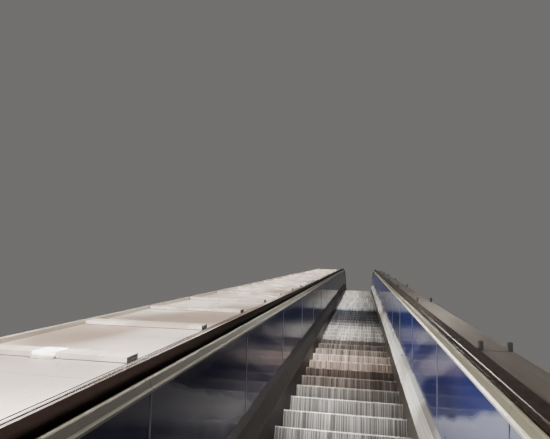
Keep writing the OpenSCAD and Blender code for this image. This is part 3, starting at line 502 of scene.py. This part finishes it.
class Shape:
    """Vertices and faces of one piece, built up from simple forms."""

    def __init__(self):
        self.points, self.faces, self.kinds = [], [], []

    def add(self, points, faces, kind=0):
        base = len(self.points)
        self.points.extend(points)
        self.faces.extend(tuple(base + i for i in face) for face in faces)
        self.kinds.extend([kind] * len(faces) if isinstance(kind, int) else kind)

    def prism(self, section, x0, x1, kind=0, place=unmoved):
        """A section in (y, z) made solid from x0 to x1."""
        n = len(section)
        points = [place(x, y, z) for x in (x0, x1) for y, z in section]
        sides = [(i, (i + 1) % n, n + (i + 1) % n, n + i) for i in range(n)]
        self.add(points, sides + [tuple(range(n - 1, -1, -1)), tuple(range(n, 2 * n))], kind)

    def box(self, low, high, kind=0, place=unmoved):
        section = [(low[1], low[2]), (high[1], low[2]), (high[1], high[2]), (low[1], high[2])]
        self.prism(section, low[0], high[0], kind, place)

    def cylinder(self, centre, radius, x0, x1, sides, kind):
        ring = [(centre[0] + radius * math.cos(2 * math.pi * i / sides),
                 centre[1] + radius * math.sin(2 * math.pi * i / sides)) for i in range(sides)]
        self.prism(ring, x0, x1, kind)

    def make(self, name, materials, replaces=(), smooth=None):
        mesh = bpy.data.meshes.new(name)
        mesh.from_pydata(self.points, [], self.faces)
        for material in materials:
            mesh.materials.append(M[material])
        mesh.polygons.foreach_set("material_index", self.kinds)
        made = bpy.data.objects.new(name, mesh)
        bpy.context.scene.collection.objects.link(made)
        if smooth is not None:
            mesh.polygons.foreach_set("use_smooth", [True] * len(mesh.polygons))
            mesh.set_sharp_from_angle(angle=math.radians(smooth))
        mesh.validate()
        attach(made, "root")
        if replaces:
            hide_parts(*replaces)


# Steps with their cleats: a riser arc about the rear edge of the tread below, frames, axles and rollers
PITCH, STEP_GAP, TREAD_T, HALF_W = 0.4, 0.004, 0.030, 0.500
FIRST_NOSING = 0.297
CLEATS, CLEAT_W, GROOVE, ROOT = 111, 0.0036, 0.010, 0.0005
NOSE, ROUND = 0.009, 0.003
RISER_TURN, SKIN = math.radians(31), 0.002
YOKE = [(0.012, -0.029), (0.063, -0.196), (0.088, -0.296), (0.132, -0.296), (0.342, -0.106), (0.342, -0.029)]
YOKE_X, YOKE_HALF = 0.44, 0.015
WEBS, WEB_T, WEB_HALF, WEB_TOP, WEB_FOOT = (0.10, 0.22), 0.012, 0.035, -0.029, -0.060
AXLES = [(0.562, (0.320, -0.095)), (0.520, (0.110, -0.285))]
AXLE_R, HUB_R, HUB_HALF, TYRE_R, TYRE_HALF = 0.0125, 0.022, 0.0125, 0.0377, 0.012
CLEAT, GROOVES, CASTING, AXLE, TYRE, EDGE = range(6)
STEP_MATERIALS = ["cleat", "groove", "step_side", "track", "roller", "nosing"]


def step_line(depth):
    """A step's outline at a depth under its cleats' tops, from the tread's rear edge to the riser's foot."""
    r = PITCH - depth
    corner = math.asin(depth / r)
    x = PITCH - r * math.cos(corner)
    turns = [corner + ROUND / r, corner + NOSE / r]
    turns += [corner + (RISER_TURN - corner) * i / 3 for i in (1, 2, 3)]
    line = [(PITCH - STEP_GAP, -depth), (x + NOSE, -depth), (x + ROUND, -depth)]
    return line + [(PITCH - r * math.cos(t), -r * math.sin(t)) for t in turns]


def one_step():
    s = Shape()
    outer = step_line(0.0)
    n = len(outer)
    cleat = outer + step_line(GROOVE + ROOT)[::-1]
    kinds = [CLEAT, EDGE, EDGE, EDGE, CLEAT, CLEAT, CLEAT] + [CASTING] * (n + 1) + [GROOVES, GROOVES]
    for i in range(CLEATS):
        middle = (i - (CLEATS - 1) / 2) * CLEAT_PITCH
        x0 = -HALF_W if i == 0 else middle - CLEAT_W / 2
        x1 = HALF_W if i == CLEATS - 1 else middle + CLEAT_W / 2
        s.prism(cleat, x0, x1, kinds)
    r = PITCH - GROOVE - ROOT
    back = [RISER_TURN, RISER_TURN * 0.6, RISER_TURN * 0.3, math.asin(TREAD_T / r)]
    back = [(PITCH - r * math.cos(t) + SKIN, -r * math.sin(t)) for t in back]
    plate = step_line(GROOVE) + back + [(PITCH - STEP_GAP, -TREAD_T)]
    s.prism(plate, -HALF_W, HALF_W, [GROOVES] * (n - 1) + [CASTING] * (len(plate) - n + 3))
    for x in (-YOKE_X, YOKE_X):
        s.prism(YOKE, x - YOKE_HALF, x + YOKE_HALF, CASTING)
        for web in WEBS:
            s.box((x - WEB_HALF, web, WEB_FOOT), (x + WEB_HALF, web + WEB_T, WEB_TOP), CASTING)
    for middle, axle in AXLES:
        s.cylinder(axle, AXLE_R, -middle, middle, 10, AXLE)
        for k in (-middle, middle):
            s.cylinder(axle, TYRE_R, k - TYRE_HALF, k + TYRE_HALF, 18, TYRE)
            s.cylinder(axle, HUB_R, k - HUB_HALF, k + HUB_HALF, 12, AXLE)
    return s


def steps():
    """All steps of the visible run, in three pieces."""
    base = one_step()
    places = []
    s = FIRST_NOSING - PITCH
    while s < S5:
        places.append(path(s))
        s += PITCH
    third = math.ceil(len(places) / 3)
    for i, name in enumerate(("steps_lower_run", "steps_middle_run", "steps_upper_run")):
        run = Shape()
        for y0, z0 in places[i * third:(i + 1) * third]:
            run.add([(x, y + y0, z + z0) for x, y, z in base.points], base.faces, base.kinds)
        run.make(name, STEP_MATERIALS, ["steps"], smooth=20)


steps()


# Handrails: one closed loop a side, out along the top and back inside the balustrade
RAIL_HALF_W, RAIL_HALF_H = 0.040, 0.017
RAIL_MOUTH, RAIL_GROOVE, RAIL_GROOVE_TOP, RAIL_GROOVE_LOW = 0.0205, 0.0265, 0.0055, -0.0055
LOW_PARTS, INCLINE_PARTS, UP_PARTS, NEWEL_PARTS, EDGE_PARTS = 24, 12, 30, 40, 12


def rail_loop():
    """Stations of the loop as (y, z, outward y, outward z)."""
    out = []

    def along(n, sign):
        marks = [START, S1] + [S1 + (S2 - S1) * i / LOW_PARTS for i in range(1, LOW_PARTS + 1)]
        marks += [S2 + (S3 - S2) * i / INCLINE_PARTS for i in range(1, INCLINE_PARTS)] + [S3]
        marks += [S3 + (S4 - S3) * i / UP_PARTS for i in range(1, UP_PARTS + 1)] + [END]
        for s in marks if sign > 0 else marks[::-1]:
            t = slope(s)
            y, z = path(s, n)
            out.append((y, z, -math.sin(t) * sign, math.cos(t) * sign))

    def newel(cy, z, start):
        cz = z + NEWEL_N
        for i in range(1, NEWEL_PARTS):
            t = start - math.pi * i / NEWEL_PARTS
            out.append((cy + NEWEL_R * math.cos(t), cz + NEWEL_R * math.sin(t), math.cos(t), math.sin(t)))
    along(RAIL_MID, 1)
    newel(P5[0] + NEWEL_OUT, P5[1], math.pi / 2)
    along(RAIL_MID - 2 * NEWEL_R, -1)
    newel(P0[0] - NEWEL_OUT, P0[1], -math.pi / 2)
    return out


def rail_section():
    """Round outside, and a C-shaped groove for the guide, as (across, outward)."""
    h = RAIL_HALF_H
    points = []
    for side in (1, -1):
        for i in range(EDGE_PARTS + 1):
            t = math.radians(180 * i / EDGE_PARTS - 90 * side)
            points.append((side * (RAIL_HALF_W - h) + h * math.cos(t), h * math.sin(t)))
    groove = [(RAIL_GROOVE, RAIL_GROOVE_TOP), (RAIL_GROOVE, RAIL_GROOVE_LOW), (RAIL_MOUTH, RAIL_GROOVE_LOW),
              (RAIL_MOUTH, -h)]
    return points + [(-u, v) for u, v in groove[::-1]] + groove


def handrail(name, side, material):
    loop, section = rail_loop(), rail_section()
    n, m = len(section), len(loop)
    s = Shape()
    points = [(side * (RAIL + u), y + v * oy, z + v * oz) for y, z, oy, oz in loop for u, v in section]
    faces = [(i * n + j, i * n + (j + 1) % n, ((i + 1) % m) * n + (j + 1) % n, ((i + 1) % m) * n + j)
             for i in range(m) for j in range(n)]
    s.add(points, faces if side > 0 else [f[::-1] for f in faces])
    s.make(name + "_loop", [material], [name], smooth=40)


handrail("left_handrail", -1, "rail_left")
handrail("right_handrail", 1, "rail_right")

# Cover strips over the joints of the interior panels
STRIP_HALF_T, STRIP_HALF_W = 0.003, 0.005
STRIP_FOOT, STRIP_TOP = PANEL_FOOT + 0.004, PANEL_TOP - 0.002
for name, side in (("left_panel_strips", -1), ("right_panel_strips", 1)):
    strips = Shape()
    for s in joints(START, END, PANEL_LEN)[1:-1]:
        x = side * PANEL
        strips.box((x - STRIP_HALF_T, -STRIP_HALF_W, STRIP_FOOT), (x + STRIP_HALF_T, STRIP_HALF_W, STRIP_TOP),
                   place=at(s))
    strips.make(name, ["strip"])

# Dark strips along both feet of each cross bar, as painted shadow
BAR_SHADOW_X, BAR_SHADOW_W, BAR_SHADOW_H = (-1.584, -0.812), 0.004, 0.0025
bar_shadows = Shape()
s = S2 + BAR_START
while s <= S3 - BAR_W:
    for low in (-BAR_SHADOW_W, BAR_W):
        bar_shadows.box((BAR_SHADOW_X[0], low, 0.0), (BAR_SHADOW_X[1], low + BAR_SHADOW_W, BAR_SHADOW_H), place=at(s, DECK))
    s += BAR_PITCH
bar_shadows.make("deck_bar_shadow_strips", ["inlet"])

# Crumpled repair tape round one of the bars, down on to the deck in front of it
TAPE_X, TAPE_W, TAPE_T, CREASE, SKEW, EDGE_WAVE = -1.250, 0.110, 0.0008, 0.0012, 0.006, 0.003
TAPE_FLAP, TAPE_BACK_FOOT, TAPE_RINGS = -0.026, 0.003, 9


def repair_tape():
    """A closed shell: the tape's inner line on the bar, and its outer one with creases."""
    top, back = BAR_H + TAPE_T, BAR_W + TAPE_T
    inner = [(TAPE_FLAP, 0.0), (-0.004, 0.0026), (0.0, BAR_H), (BAR_W, BAR_H), (BAR_W, TAPE_BACK_FOOT)]
    outer = [(TAPE_FLAP, TAPE_T), (-0.008, 0.0044), (-0.0026, 0.014), (-TAPE_T, top),
             (0.03, top), (0.06, top), (back, top), (back, TAPE_BACK_FOOT)]
    place = at(S2 + BAR_START + TAPE_BAR * BAR_PITCH, DECK)
    tape = Shape()
    ring = len(inner) + len(outer)
    points = []
    for i in range(TAPE_RINGS):
        skew = SKEW * math.sin(1.9 * i)
        for j, (u, n) in enumerate(inner + outer[::-1]):
            lift = CREASE * (0.5 + 0.5 * math.sin(2.3 * i + 1.7 * j)) if j >= len(inner) else 0.0
            if j in (0, ring - 1):
                u += skew
            x = TAPE_X + TAPE_W * i / (TAPE_RINGS - 1) + EDGE_WAVE * math.sin(2.1 * j)
            points.append(place(x, u - lift * (u < 0), n + lift))
    faces = []
    for i in range(TAPE_RINGS - 1):
        for j in range(ring):
            k = (j + 1) % ring
            faces.append((i * ring + j, i * ring + k, (i + 1) * ring + k, (i + 1) * ring + j))
    last = (TAPE_RINGS - 1) * ring
    faces += [tuple(range(ring))[::-1], tuple(range(last, last + ring))]
    tape.add(points, faces)
    tape.make("deck_bar_tape", ["tape"], smooth=35)


repair_tape()

# Open joints of the narrow deck, beside its stops
SEAM_START, SEAM_PITCH, SEAM_END_GAP = 1.020, 2.8, 0.024
SEAM_X, SEAM_W, SEAM_N = (SIDE - 0.004, SIDE + 0.105), 0.004, (0.0002, 0.0012)
seams = Shape()
s = S2 + SEAM_START
while s < S3 - SEAM_END_GAP:
    seams.box((SEAM_X[0], -SEAM_W, SEAM_N[0]), (SEAM_X[1], 0.0, SEAM_N[1]), place=at(s, DECK))
    s += SEAM_PITCH
seams.make("right_deck_joints", ["inlet"])

# Stage floor, a little under the truss
FLOOR_X, FLOOR_Y0, FLOOR_Y1, FLOOR_Z = 60, -50, 80, -0.962
floor_finish = Finish("stage_floor", metallic=0.0, roughness=0.7)
tone = floor_finish.grain(0.2, 0.2, 0.2, 3.0, turn=0.0)
floor_finish.put("Base Color", floor_finish.ramp(tone, (0.3, (0.70, 0.69, 0.67)), (0.7, (0.76, 0.75, 0.73))))
corners = [(-FLOOR_X, FLOOR_Y0), (FLOOR_X, FLOOR_Y0), (FLOOR_X, FLOOR_Y1), (-FLOOR_X, FLOOR_Y1)]
mesh = bpy.data.meshes.new("stage_floor")
mesh.from_pydata([(x, y, FLOOR_Z) for x, y in corners], [], [(0, 1, 2, 3)])
mesh.materials.append(floor_finish.mat)
floor = bpy.data.objects.new("stage_floor", mesh)
bpy.context.scene.collection.objects.link(floor)

# Light
world = bpy.data.worlds.new("studio")
bpy.context.scene.world = world
world.use_nodes = True
world.node_tree.nodes["Background"].inputs["Color"].default_value = (0.84, 0.82, 0.80, 1.0)
world.node_tree.nodes["Background"].inputs["Strength"].default_value = 0.20


def lamp(name, kind, power, colour, place, direction):
    light = bpy.data.lights.new(name, kind)
    light.energy = power
    light.color = colour
    made = bpy.data.objects.new(name, light)
    bpy.context.scene.collection.objects.link(made)
    made.location = place
    made.rotation_mode = "QUATERNION"
    made.rotation_quaternion = direction.to_track_quat("-Z", "Y")
    return made


def area(name, place, aim, size, power, colour=(1.0, 0.97, 0.92)):
    made = lamp(name, "AREA", power, colour, place, Vector(aim) - Vector(place))
    made.data.shape = "RECTANGLE"
    made.data.size, made.data.size_y = size
    return made


def over_incline(name, x, s, n, size, power, tilt=0.0, shows=False):
    """A light parallel to the incline, tilted to one side or not, and shown in reflections or not."""
    y, z = path(s, n)
    made = area(name, (x, y, z), (x, y, z - 1.0), size, power)
    made.rotation_quaternion = Quaternion((1, 0, 0), INCLINE) @ Quaternion((0, 1, 0), tilt)
    made.visible_camera, made.visible_glossy = False, shows


MIDDLE, RUN = S2 + (S3 - S2) / 2, 26.0
over_incline("soft_left", -5.2, MIDDLE, 3.6, (3.0, RUN), 70)
over_incline("line_left", -3.3, MIDDLE, 2.5, (0.4, RUN), 240)
over_incline("band_light", -1.3, MIDDLE, 2.0, (0.2, RUN), 480, tilt=math.radians(-45))
over_incline("near_left", -1.5, 4.6, 2.4, (0.6, 1.2), 260)
over_incline("band_top", 0.45, 8.4, 1.7, (0.1, 3.0), 90, shows=True)
# Ceiling lights over the incline, as (s, length, power)
for i, (s, length, power) in enumerate([(3.6, 1.8, 30), (9.1, 1.0, 15), (14.9, 1.8, 40), (19.5, 1.6, 40)]):
    over_incline("ceiling_%d" % i, -0.7, s, 3.3, (1.8, length), power, shows=True)
low_back = lamp("low_back", "SUN", 6.0, (1.0, 0.97, 0.93), (0, 0, 0), Vector((0.03, 1.0, -0.04)))
low_back.data.angle = math.radians(20)
area("key", (14.0, 4.0, 18.0), (0.0, 14.0, 4.0), (10.0, 10.0), 350)
area("fill", (-14.0, 8.0, 12.0), (0.0, 14.0, 4.0), (12.0, 12.0), 350, (1.0, 0.96, 0.92))

# Camera at the photo's place, from the fitted view: X across, U along the incline and N square to it
IMAGE_W, SENSOR_W, FOCAL_PX = 550, 36.0, 468.79
YAW, PITCH_UP, ROLL = math.radians(-10.617), math.radians(4.603), math.radians(-1.291)
REFERENCE_S = S2 + 4.85
CAMERA_X, CAMERA_U, CAMERA_N = 0.1392, -3.6195, 1.27453
X, U, N = Vector((1, 0, 0)), Vector((0, COS, SIN)), Vector((0, -SIN, COS))


def turned(x, u, n):
    return x * X + u * U + n * N


forward = turned(math.sin(YAW) * math.cos(PITCH_UP), math.cos(YAW) * math.cos(PITCH_UP), math.sin(PITCH_UP))
level = turned(math.cos(YAW), -math.sin(YAW), 0)
down = forward.cross(level)
right = math.cos(ROLL) * level + math.sin(ROLL) * down
under = -math.sin(ROLL) * level + math.cos(ROLL) * down
camera_data = bpy.data.cameras.new("photo_camera")
camera_data.sensor_fit = "HORIZONTAL"
camera_data.sensor_width = SENSOR_W
camera_data.lens = FOCAL_PX / IMAGE_W * SENSOR_W
camera_data.clip_start, camera_data.clip_end = 0.05, 200.0
camera = bpy.data.objects.new("photo_camera", camera_data)
bpy.context.scene.collection.objects.link(camera)
pose = Matrix((right, -under, -forward)).transposed().to_4x4()
pose.translation = Vector((0, *path(REFERENCE_S))) + turned(CAMERA_X, CAMERA_U, CAMERA_N)
camera.matrix_world = pose
bpy.context.scene.camera = camera
